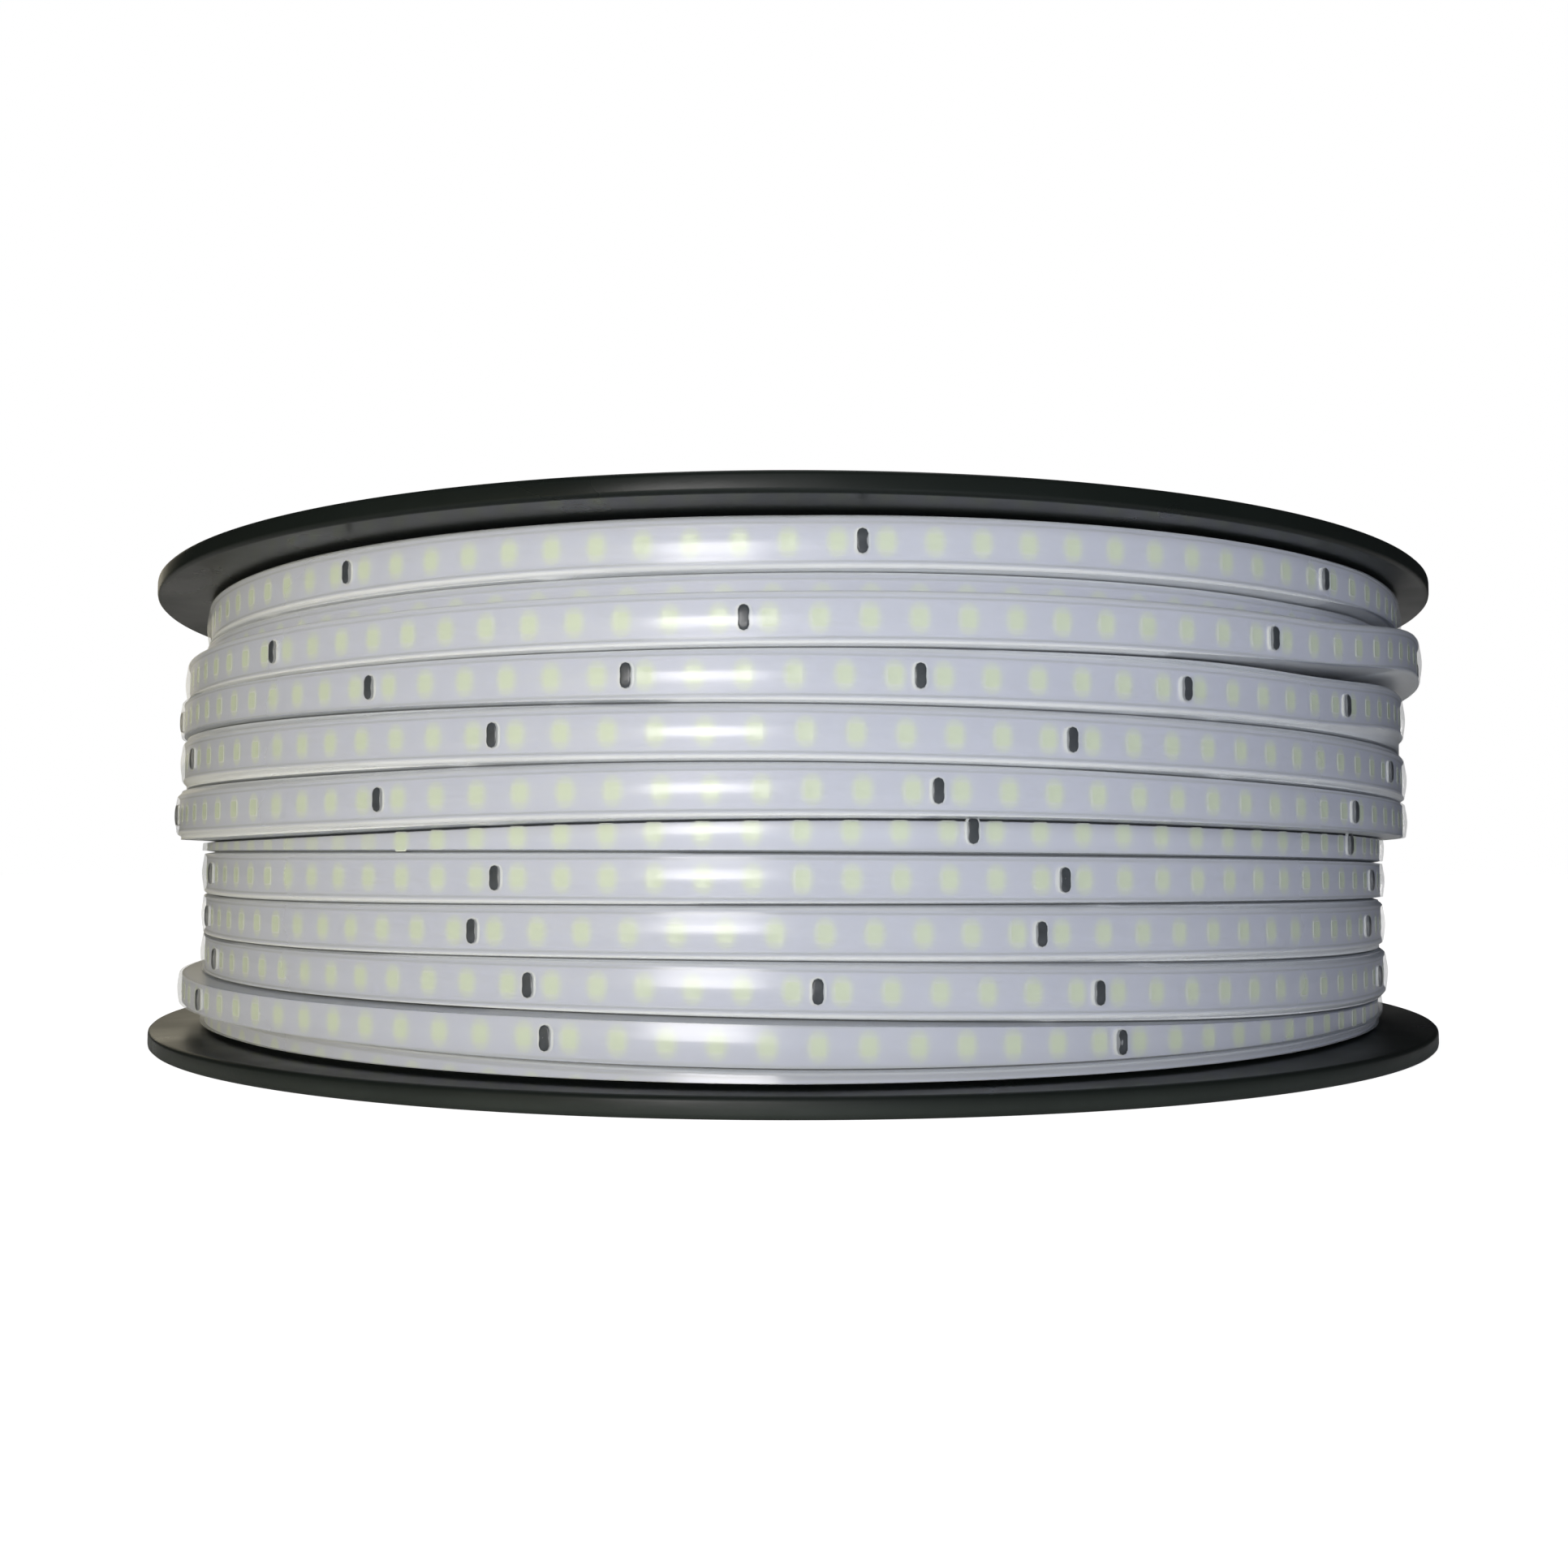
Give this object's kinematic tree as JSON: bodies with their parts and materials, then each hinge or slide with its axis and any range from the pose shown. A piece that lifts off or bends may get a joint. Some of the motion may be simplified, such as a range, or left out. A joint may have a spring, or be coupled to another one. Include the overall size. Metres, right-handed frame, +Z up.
{
  "type": "reel of led rope light",
  "caption": "Full reel of flat translucent LED rope light, wound in layers on a black moulded plastic spool.",
  "frame": {"origin": "under the middle of the reel, on the surface that the lower flange stands on", "axes": "+Z up along the reel's axle, -Y towards the front of the picture, +X to the right"},
  "size_m": [0.31, 0.31, 0.1036],
  "materials": {
    "black_plastic": "moulded, faint green-grey sheen",
    "rope_pvc": "translucent soft PVC tube, smooth",
    "cap_pvc": "white PVC moulding",
    "clear_tape": "clear adhesive tape",
    "zinc_steel": "zinc plated"
  },
  "bodies": {
    "root": {"flange_lower": "black_plastic", "flange_upper": "black_plastic", "core_barrel": "black_plastic", "rope_winding": "rope_pvc", "rope_end_cap": "cap_pvc", "end_tape": "clear_tape", "screw_lower_1": "zinc_steel", "screw_lower_2": "zinc_steel", "screw_lower_3": "zinc_steel", "screw_lower_4": "zinc_steel", "screw_upper_1": "zinc_steel", "screw_upper_2": "zinc_steel", "screw_upper_3": "zinc_steel", "screw_upper_4": "zinc_steel"}
  },
  "joints": []
}
